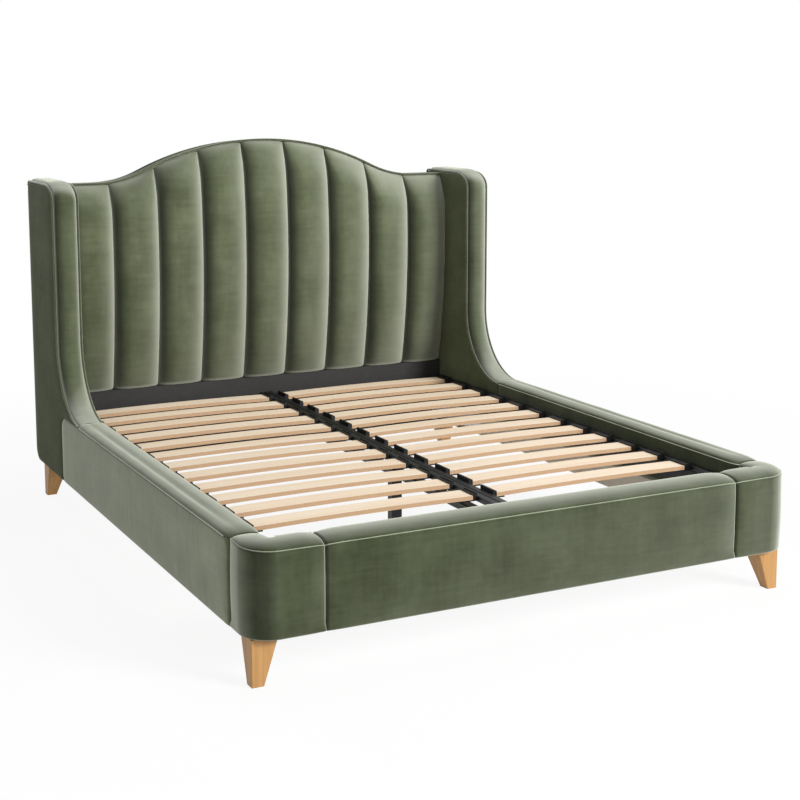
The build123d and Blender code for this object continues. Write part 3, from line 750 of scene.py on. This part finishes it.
def cord_lines(side):
    """Routes of the cords at the outer and inner edges of a wing's band."""
    path = resampled(wing_path(cord_depth), cord_step)
    return [along_side(side, x, path) for x in (side_x - cord_sink, side_inner_x + cord_sink)]


def rail_welt(side):
    """Route of the thin welt between a rail's top and its outer panel."""
    z = rail_top - rail_welt_depth
    path = line((swoop_end_y, z), (corner_seam_y + rail_welt_gap, z), straight_step)
    return along_side(side, side_x - rail_welt_sink, path)


def stitch_lines(side):
    """Routes of the stitching beside the cords, on a wing's outer and inner faces."""
    depth = cord_depth + stitch_offset
    path = resampled(wing_path(depth), cord_step)
    z = rail_top - depth
    rail = line((swoop_end_y, z), (corner_seam_y + stitch_seam_gap, z), straight_step)
    inner = path[path[:, 0] < panel_front_y]
    return [along_side(side, side_x + stitch_lift, np.concatenate([path, rail[1:]])),
            along_side(side, side_inner_x - stitch_lift, inner)]


# Headboard


def arch_height(x, inset=0.0):
    """Height of the headboard's top line over its width."""
    turn = 2 * np.arctan((peak - shoulder_height) / shoulder_reach)
    radii = shoulder_reach / np.sin(turn)
    crown = crown_share * radii
    dip = radii - crown
    x = np.abs(np.asarray(x, float))
    rise = crown - inset
    low = dip + inset
    top = peak - crown + np.sqrt(np.maximum(rise ** 2 - x ** 2, 0))
    side = np.clip(shoulder_reach - x, 0, low)
    bottom = shoulder_height + dip - np.sqrt(low ** 2 - side ** 2)
    return np.where(x < rise * np.sin(turn), top, bottom)


def arch_line(inset, reach=side_inner_x):
    """The headboard's top line from left to right, in X and height."""
    x = np.linspace(-reach, reach, arch_count)
    return np.column_stack([x, arch_height(x, inset)])


def pad_depth(z):
    """Y of the channels' seams at a height: the padding bows out between the board and the arch."""
    radius = (pad_full_rise ** 2 + pad_swell ** 2) / (2 * pad_swell)
    rise = z - pad_foot - pad_full_rise
    return pad_edge_y - pad_swell + radius - np.sqrt(radius ** 2 - rise ** 2)


def channel_pad(number, cloth):
    """One crowned channel, with deep seams, a rounded foot and a top rolled back to the cord."""
    pitch = 2 * side_inner_x / channel_count
    share = np.concatenate([channel_edge_shares, channel_middle_shares,
                            1 - channel_edge_shares[::-1]])
    x = pitch * number - side_inner_x + pitch * share
    fullness = np.clip(1 - np.abs(2 * share - 1) ** channel_fullness, 0, 1)
    section = fullness ** channel_softness
    top = arch_height(x, arch_inset)
    first = pad_foot + channel_foot_steps[-1]
    last = top - channel_top_steps[0]
    rows = [pad_foot + step + 0 * x for step in channel_foot_steps[:-1]]
    rows += [(1 - part) * first + part * last for part in np.linspace(0, 1, channel_rows)]
    rows += [top - step for step in channel_top_steps[1:]]
    outer, inner = [], []
    for z in rows:
        below = np.clip(top - z, 0, None)
        roll = np.clip(1 - below / channel_roll_reach, 0, 1)
        end = np.clip(1 - below / channel_end_reach, 0, 1)
        foot = np.clip(1 - (z - pad_foot) / channel_foot_reach, 0, 1)
        crown = channel_crown * section * (1 - channel_roll_loss * roll ** 1.5)
        crown = crown * np.sqrt(np.clip(1 - end ** 3, 0, 1))
        crown = crown - channel_foot_turn * (1 - np.sqrt(1 - foot ** 2))
        swell = pad_depth(z) + channel_sink
        seam = swell + (pad_edge_y + channel_top_sink - swell) * roll ** 2
        face = np.column_stack([x, seam - crown, z])
        face[:, 1] += unevenness(face, channel_bumps) * section
        outer.append(face)
        inner.append(np.column_stack([x, 0 * x + panel_front_y - channel_overlap, z]))
    folded_strip(f"channel_pad_{number + 1}", outer, inner, cloth,
                 [f"headboard_channel_{number + 1}"])


def headboard_top(cloth):
    """Cloth over the headboard's top edge."""
    path = resampled(arch_line(0), arch_step)
    deep = head_y - pad_edge_y
    across = seam_steps(deep, panel_edge_radius, top_hem_radius, close_step)
    drop = turned_in(across, panel_edge_radius) + turned_in(deep - across, top_hem_radius)
    y = pad_edge_y + across
    outer, inner = [], []
    for place, way in zip(path, right_hand(path)):
        rise = np.clip((place[1] - shoulder_height) / arch_slope_rise, 0, 1)
        low = drop + (top_slope + arch_slope * rise) * (across / deep) ** 2.5
        for rows, depth in ((outer, low), (inner, low + cloth_depth)):
            rows.append(np.column_stack([place[0] + way[0] * depth, y, place[1] + way[1] * depth]))
    folded_strip("headboard_top_cloth", outer, inner, cloth, ["headboard_cover"])


def headboard_back(cloth):
    """Cloth down the headboard's back."""
    reach = side_inner_x + back_cloth_inset
    arch = arch_line(arch_inset, reach)
    outline = np.concatenate([
        resampled(arch, arch_step)[:-1],
        line((reach, arch[-1, 1]), (reach, underside), straight_step),
        line((reach, underside), (-reach, underside), straight_step),
        line((-reach, underside), (-reach, arch[0, 1]), straight_step),
    ])

    def place(points):
        y = head_y - back_cloth_inset + points[:, 2]
        return np.column_stack([points[:, 0], y, points[:, 1]])
    padded_panel("headboard_back_cloth", outline, place, cloth, ["headboard_cover"], crown=0.002,
                 reach=0.08, spacing=0.05, edge=back_seam_radius, depth=back_cloth_depth)


def arch_cord(cloth):
    """Cord along the headboard's top line."""
    path = resampled(arch_line(arch_inset - arch_cord_radius), cord_step)
    y = np.full(len(path), pad_edge_y - arch_cord_radius)
    route = np.column_stack([path[:, 0], y, path[:, 1]])
    cords("headboard_cord", [route], arch_cord_radius, cloth, ["headboard_piping"])


# Materials


def material(name):
    """A new material, its nodes and its shader."""
    made = bpy.data.materials.new(name)
    made.use_nodes = True
    tree = made.node_tree
    return made, tree, tree.nodes["Principled BSDF"]


def node(tree, kind, **settings):
    """A new node with some of its settings."""
    made = tree.nodes.new(kind)
    for key, value in settings.items():
        setattr(made, key, value)
    return made


def grain(tree, scale, size, detail=4.0, roughness=0.6):
    """Noise over object coordinates, stretched by a scale along each axis."""
    place = node(tree, "ShaderNodeTexCoord")
    sized = node(tree, "ShaderNodeMapping")
    sized.inputs["Scale"].default_value = scale
    tree.links.new(place.outputs["Object"], sized.inputs["Vector"])
    made = node(tree, "ShaderNodeTexNoise")
    made.inputs["Scale"].default_value = size
    made.inputs["Detail"].default_value = detail
    made.inputs["Roughness"].default_value = roughness
    tree.links.new(sized.outputs["Vector"], made.inputs["Vector"])
    return made.outputs["Fac"]


def even(tree, size, detail=4.0, roughness=0.6):
    """Noise of the same size along every axis."""
    return grain(tree, (1, 1, 1), size, detail, roughness)


def linear(colour):
    """An sRGB colour of 0 to 255 as linear light."""
    share = np.asarray(colour, float) / 255
    light = np.where(share <= 0.04045, share / 12.92, ((share + 0.055) / 1.055) ** 2.4)
    return tuple(light.tolist())


def light_ramp(tree, factor, stops):
    """Ramp through linear colours at their places."""
    made = node(tree, "ShaderNodeValToRGB")
    spots = made.color_ramp.elements
    while len(spots) < len(stops):
        spots.new(0.5)
    for index, (place, colour) in enumerate(stops):
        spots[index].position = place
        spots[index].color = (*colour, 1)
    tree.links.new(factor, made.inputs["Fac"])
    return made.outputs["Color"]


def ramp(tree, factor, stops):
    """Ramp through sRGB colours at their places."""
    return light_ramp(tree, factor, [(place, linear(colour)) for place, colour in stops])


def shares(tree, factor, stops):
    """Grey ramp whose shades are plain shares of white."""
    return light_ramp(tree, factor, [(place, (share, share, share)) for place, share in stops])


def ranged(tree, value, given=(0, 1), wanted=(0, 1)):
    """A value carried over from one range to another."""
    made = node(tree, "ShaderNodeMapRange")
    for name, number in zip(("From Min", "From Max", "To Min", "To Max"), (*given, *wanted)):
        made.inputs[name].default_value = number
    tree.links.new(value, made.inputs["Value"])
    return made.outputs[0]


def mixed(tree, factor, first, second, blend="MIX"):
    """Two colours mixed by a factor; each may be a value or a node's output."""
    made = node(tree, "ShaderNodeMix", data_type="RGBA", blend_type=blend)
    for name, value in (("Factor", factor), ("A", first), ("B", second)):
        socket = made.inputs[name]
        if hasattr(value, "links"):
            tree.links.new(value, socket)
        elif isinstance(value, tuple):
            socket.default_value = (*value, 1)
        else:
            socket.default_value = value
    return [output for output in made.outputs if output.type == "RGBA"][0]


def bump(tree, shader, height, strength, distance):
    """Fine relief on a shader's surface."""
    made = node(tree, "ShaderNodeBump")
    made.inputs["Strength"].default_value = strength
    made.inputs["Distance"].default_value = distance
    tree.links.new(height, made.inputs["Height"])
    tree.links.new(made.outputs["Normal"], shader.inputs["Normal"])


def normal_parts(tree):
    """X, Y and Z of the surface's direction."""
    parts = node(tree, "ShaderNodeSeparateXYZ")
    tree.links.new(node(tree, "ShaderNodeTexCoord").outputs["Normal"], parts.inputs[0])
    return parts.outputs


def velvet(name, tone, painted_sheen, side_shade=(), sheen=1.0, spread=18, streaked=0.25, fall=()):
    """Short-piled velvet: mottled, with painted sheen that pales it the more it turns away, and,
    where shares are given, painted shade that darkens it where it leans left and faces down."""
    made, tree, shader = material(name)
    tone = np.array(tone)
    dark, pale = tone - spread, tone + spread
    broad = even(tree, 5.5, 5, 0.62)
    brushed = grain(tree, (9, 9, 1.3), 6, 4, 0.6)
    crossed = grain(tree, (1.6, 1.6, 14), 5, 3, 0.6)
    patches = ramp(tree, broad, [(0.34, dark), (0.5, tone), (0.68, pale)])
    streaks = ramp(tree, brushed, [(0.3, dark), (0.72, pale)])
    rows = ramp(tree, crossed, [(0.33, dark), (0.7, pale)])
    cloth = mixed(tree, streaked, patches, streaks)
    cloth = mixed(tree, 0.2, cloth, rows)
    # Painted sheen: the colour is lifted towards the pale tone the more the cloth turns away from
    # the eye
    facing = node(tree, "ShaderNodeLayerWeight")
    facing.inputs["Blend"].default_value = 0.5
    turned = shares(tree, facing.outputs["Facing"], painted_sheen)
    # Painted shade: darker where the surface leans left, and, for the channels, where it faces down
    for axis, stops in (("X", side_shade), ("Z", fall)):
        if stops:
            lean = ranged(tree, normal_parts(tree)[axis], (-1, 1))
            cloth = mixed(tree, 1.0, cloth, shares(tree, lean, stops), "MULTIPLY")
    cloth = mixed(tree, turned, cloth, linear(painted_sheen_tone))
    tree.links.new(cloth, shader.inputs["Base Color"])
    shader.inputs["Roughness"].default_value = 0.85
    shader.inputs["Specular IOR Level"].default_value = 0.15 if sheen > 0.3 else 0.04
    shader.inputs["Sheen Weight"].default_value = sheen
    shader.inputs["Sheen Roughness"].default_value = 0.42
    shader.inputs["Sheen Tint"].default_value = (*linear((234, 240, 222)), 1)
    bump(tree, shader, even(tree, 900, 3, 0.7), 0.35, 0.0006)
    return made


def timber(name, colours, along, rough=0.5, edges=None):
    """Planed wood with its grain along one axis, and, where given, darker upright faces:
    partly the darker cut edges, partly painted shade.
    """
    made, tree, shader = material(name)
    dark, plain, pale = colours
    fine, broad = [90] * 3, [14] * 3
    fine["XYZ".index(along)] = 3
    broad["XYZ".index(along)] = 0.8
    threads = ramp(tree, grain(tree, fine, 1, 4, 0.65), [(0.3, dark), (0.7, pale)])
    bands = ramp(tree, grain(tree, broad, 1, 5, 0.6), [(0.3, dark), (0.5, plain), (0.72, pale)])
    wood = mixed(tree, 0.45, bands, threads)
    # Upright faces take the edge colour: partly the cut edge's own colour, partly painted shade
    if edges:
        level = node(tree, "ShaderNodeMath", operation="ABSOLUTE")
        tree.links.new(normal_parts(tree)["Z"], level.inputs[0])
        side = shares(tree, level.outputs[0], [(0.45, 1), (0.75, 0)])
        wood = mixed(tree, side, wood, linear(edges))
    tree.links.new(wood, shader.inputs["Base Color"])
    shader.inputs["Roughness"].default_value = rough
    shader.inputs["Specular IOR Level"].default_value = 0.35
    bump(tree, shader, grain(tree, fine, 1.7, 3, 0.7), 0.18, 0.0006)
    return made


def hard_finish(name, low, high, rough, metallic=0.0, size=60, depth=0.0004):
    """Painted, moulded or plated surface with faint mottling and a fine grain."""
    made, tree, shader = material(name)
    tree.links.new(ramp(tree, even(tree, size), [(0.3, low), (0.7, high)]),
                   shader.inputs["Base Color"])
    shader.inputs["Metallic"].default_value = metallic
    wear = ranged(tree, even(tree, size / 5, 3), wanted=(rough - 0.08, rough + 0.1))
    tree.links.new(wear, shader.inputs["Roughness"])
    shader.inputs["Specular IOR Level"].default_value = 0.3
    bump(tree, shader, even(tree, size * 12, 2, 0.5), 0.25, depth)
    return made


def seen_directly(tree):
    """1 for rays from the camera, or from it by gloss or glass."""
    rays = node(tree, "ShaderNodeLightPath")
    total = node(tree, "ShaderNodeMath", operation="MAXIMUM")
    most = node(tree, "ShaderNodeMath", operation="MAXIMUM")
    tree.links.new(rays.outputs["Is Camera Ray"], total.inputs[0])
    tree.links.new(rays.outputs["Is Glossy Ray"], total.inputs[1])
    tree.links.new(total.outputs[0], most.inputs[0])
    tree.links.new(rays.outputs["Is Transmission Ray"], most.inputs[1])
    return most.outputs[0]


def floor_finish():
    """Pale floor that looks white to the camera and keeps the bed's soft shadow."""
    made, tree, shader = material("studio_floor")
    tone = ramp(tree, even(tree, 0.6, 2, 0.5), [(0.2, (240, 240, 240)), (0.8, (244, 244, 244))])
    tree.links.new(tone, shader.inputs["Base Color"])
    shader.inputs["Roughness"].default_value = 0.9
    shader.inputs["Specular IOR Level"].default_value = 0.1
    away = node(tree, "ShaderNodeVectorMath", operation="LENGTH")
    tree.links.new(node(tree, "ShaderNodeTexCoord").outputs["Object"], away.inputs[0])
    part = node(tree, "ShaderNodeMath", operation="MULTIPLY")
    tree.links.new(seen_directly(tree), part.inputs[0])
    tree.links.new(ranged(tree, away.outputs["Value"], floor_fade, floor_glow), part.inputs[1])
    both = node(tree, "ShaderNodeMixShader")
    tree.links.new(part.outputs[0], both.inputs[0])
    tree.links.new(shader.outputs[0], both.inputs[1])
    tree.links.new(node(tree, "ShaderNodeEmission").outputs[0], both.inputs[2])
    tree.links.new(both.outputs[0], tree.nodes["Material Output"].inputs["Surface"])
    return made


# Stage, light and camera


def studio():
    """Floor, even world light and soft lamps."""
    half = floor_half
    corners = [(-half, -half, 0), (half, -half, 0), (half, half, 0), (-half, half, 0)]
    mesh = bpy.data.meshes.new("studio_floor")
    mesh.from_pydata(corners, [], [(0, 1, 2, 3)])
    mesh.materials.append(floor_finish())
    floor = bpy.data.objects.new("studio_floor", mesh)
    bpy.context.collection.objects.link(floor)

    world = bpy.data.worlds.new("studio_world")
    bpy.context.scene.world = world
    world.use_nodes = True
    tree = world.node_tree
    sky = tree.nodes["Background"]
    sky.inputs["Color"].default_value = (1, 1, 1, 1)
    sky.inputs["Strength"].default_value = sky_strength
    white = node(tree, "ShaderNodeBackground")
    white.inputs["Color"].default_value = (1, 1, 1, 1)
    both = node(tree, "ShaderNodeMixShader")
    tree.links.new(seen_directly(tree), both.inputs[0])
    tree.links.new(sky.outputs[0], both.inputs[1])
    tree.links.new(white.outputs[0], both.inputs[2])
    tree.links.new(both.outputs[0], tree.nodes["World Output"].inputs["Surface"])

    for name, settings in lamps.items():
        lamp(name, *settings)


def lamp(name, place, target, size, power):
    """A round soft lamp that looks at a target."""
    data = bpy.data.lights.new(name, "AREA")
    data.shape = "DISK"
    data.size = size
    data.energy = power
    made = bpy.data.objects.new(name, data)
    made.location = place
    made.rotation_euler = (Vector(target) - Vector(place)).to_track_quat("-Z", "Y").to_euler()
    bpy.context.collection.objects.link(made)


def camera():
    """The photograph's camera."""
    data = bpy.data.cameras.new("camera")
    data.lens = camera_lens
    data.shift_x, data.shift_y = camera_shift
    made = bpy.data.objects.new("camera", data)
    made.location = camera_place
    made.rotation_euler = (radians(90 - camera_pitch), 0, radians(-camera_yaw))
    bpy.context.collection.objects.link(made)
    bpy.context.scene.camera = made


# Build

bpy.context.scene.view_settings.view_transform = "Standard"

# Painted sheen: how pale the cloth is painted, by how far it turns away from the eye
painted_sheen_tone = (187, 190, 177)
full_painted_sheen = [(0.05, 0), (0.15, 0.09), (0.29, 0.3), (0.6, 0.58), (1, 0.7)]
band_painted_sheen = [(0.05, 0), (0.15, 0.05), (0.27, 0.26), (0.45, 0.54), (1, 0.64)]
level_painted_sheen = [(0.14, 0), (0.26, 0.05), (0.5, 0.18), (0.66, 0.38), (0.76, 0.55), (0.88, 0.85),
             (1, 1)]
side_painted_sheen = [(0.5, 0.04), (0.66, 0.23), (0.8, 0.37), (1, 0.78)]
calm_painted_sheen = [(0.45, 0), (0.6, 0.2), (0.74, 0.45), (0.86, 0.85), (1, 1)]
dark_painted_sheen = [(0.3, 0), (0.8, 0.05), (1, 0.3)]

# Painted shade: share of tone the cloth keeps, from leaning left to right, and from down to up
channel_side_shade = [(0.02, 0.06), (0.14, 0.1), (0.3, 0.34), (0.46, 1)]
band_side_shade = [(0.08, 0.14), (0.28, 0.36), (0.4, 0.6), (0.45, 0.8), (0.52, 1)]
edge_side_shade = [(0.05, 1), (0.15, 0.62), (0.3, 0.58), (0.44, 1)]
foot_down_shade = [(0.36, 0.55), (0.45, 0.87), (0.52, 1)]

# Copies of one velvet: tones, painted sheen and painted shade are set piece by piece for the light
# each piece gets. The rail sides are painted lighter; the wings, their back strips and linings and
# the headboard's top and back are painted darker than them, with little painted sheen, as shade.
sage = velvet("sage_velvet", (57, 63, 43), level_painted_sheen, edge_side_shade, sheen=0.45)
rail_cloth = velvet("sage_velvet_rails", (62, 68, 49), calm_painted_sheen, sheen=0.4)
lit_side_cloth = velvet("sage_velvet_sides", (83, 91, 62), side_painted_sheen, sheen=0.6, spread=32,
                    streaked=0.5)
channel_cloth = velvet("sage_velvet_channels", (84, 91, 67), full_painted_sheen, channel_side_shade, sheen=0.7,
                       streaked=0.2, fall=foot_down_shade)
band_cloth = velvet("sage_velvet_bands", (74, 81, 58), band_painted_sheen, band_side_shade, sheen=0.6)
shaded_wing_cloth = velvet("sage_velvet_wings", (65, 73, 49), dark_painted_sheen, sheen=0.1, spread=14)
shaded_lining_cloth = velvet("sage_velvet_linings", (74, 80, 56), dark_painted_sheen, sheen=0.2, spread=12)
cord_cloth = velvet("sage_cord", (72, 77, 58), level_painted_sheen, sheen=0.6)
# Painted highlight: the welts are painted pale for the light their thin cords catch
welt_highlight_cloth = velvet("sage_welt", (132, 141, 117), level_painted_sheen, sheen=0.6)
rail_welt_highlight_cloth = velvet("sage_pale_welt", (205, 212, 192), level_painted_sheen, sheen=0.8)
thread = hard_finish("sage_thread", (122, 130, 108), (140, 148, 126), 0.6, size=300)

finishes = {
    "oak": timber("oak", ((146, 103, 55), (171, 128, 78), (186, 146, 94)), "Z", 0.45),
    "slat_wood": timber("birch", ((234, 209, 179), (245, 224, 198), (250, 235, 213)), "X", 0.5,
                        edges=(180, 148, 116)),
    "plywood": timber("plywood", ((196, 168, 128), (208, 182, 144), (218, 194, 158)), "X", 0.6),
    "softwood": timber("softwood", ((214, 186, 140), (224, 198, 154), (232, 208, 168)), "Z", 0.6),
    "frame_board": hard_finish("frame_board", (222, 214, 200), (232, 226, 214), 0.7, size=90),
    "dark_board": hard_finish("dark_board", (34, 33, 32), (40, 39, 38), 0.6, size=40),
    "black_wood": hard_finish("black_wood", (14, 14, 14), (20, 20, 20), 0.5, size=50),
    "black_plastic": hard_finish("black_plastic", (15, 15, 16), (22, 22, 23), 0.42, size=80),
    "black_steel": hard_finish("black_steel", (17, 17, 18), (24, 24, 25), 0.38, size=70),
    "zinc_steel": hard_finish("zinc_steel", (168, 172, 176), (190, 193, 196), 0.34, 1.0, 50),
    "foot_plastic": hard_finish("foot_plastic", (26, 26, 28), (34, 34, 36), 0.5, size=80),
}

for part in frame["record"]["subparts"]:
    finish = finishes.get(part["material_slot"])
    if finish:
        for slot in frame["nodes"][part["node"]].material_slots:
            slot.material = finish

welts = [footboard_pad(sage)]
thread_lines = []
rail_lines = []
for side in (1, -1):
    name = side_name(side)
    welts.append(corner_pad(side, sage))
    rail_lines += [rail_top_pad(side, rail_cloth), rail_welt(side)]
    outer_face = on_side(side, side_x, 1)
    inner_face = on_side(side, side_inner_x, -1)
    padded_panel(f"{name}_rail_side_pad", rail_side_outline(), outer_face, lit_side_cloth,
                 [f"{name}_rail_cover"], edge=rail_panel_edge)
    wing_band(side, band_cloth)
    back_strip(side, shaded_wing_cloth)
    padded_panel(f"{name}_wing_side_pad", wing_side_outline(), outer_face, shaded_wing_cloth,
                 [f"{name}_wing_outer_pad"])
    padded_panel(f"{name}_wing_lining_pad", wing_inner_outline(), inner_face, shaded_lining_cloth,
                 [f"{name}_wing_inner_pad"])
    cords(f"{name}_wing_cords", cord_lines(side), cord_radius, cord_cloth, [f"{name}_wing_piping"])
    thread_lines += stitch_lines(side)
cords("frame_welt", welts, welt_radius, welt_highlight_cloth)
cords("rail_welts", rail_lines, welt_radius, rail_welt_highlight_cloth)
stitches("seam_stitches", thread_lines, thread)
for number in range(channel_count):
    channel_pad(number, channel_cloth)
headboard_top(shaded_wing_cloth)
headboard_back(shaded_wing_cloth)
arch_cord(cord_cloth)

studio()
camera()
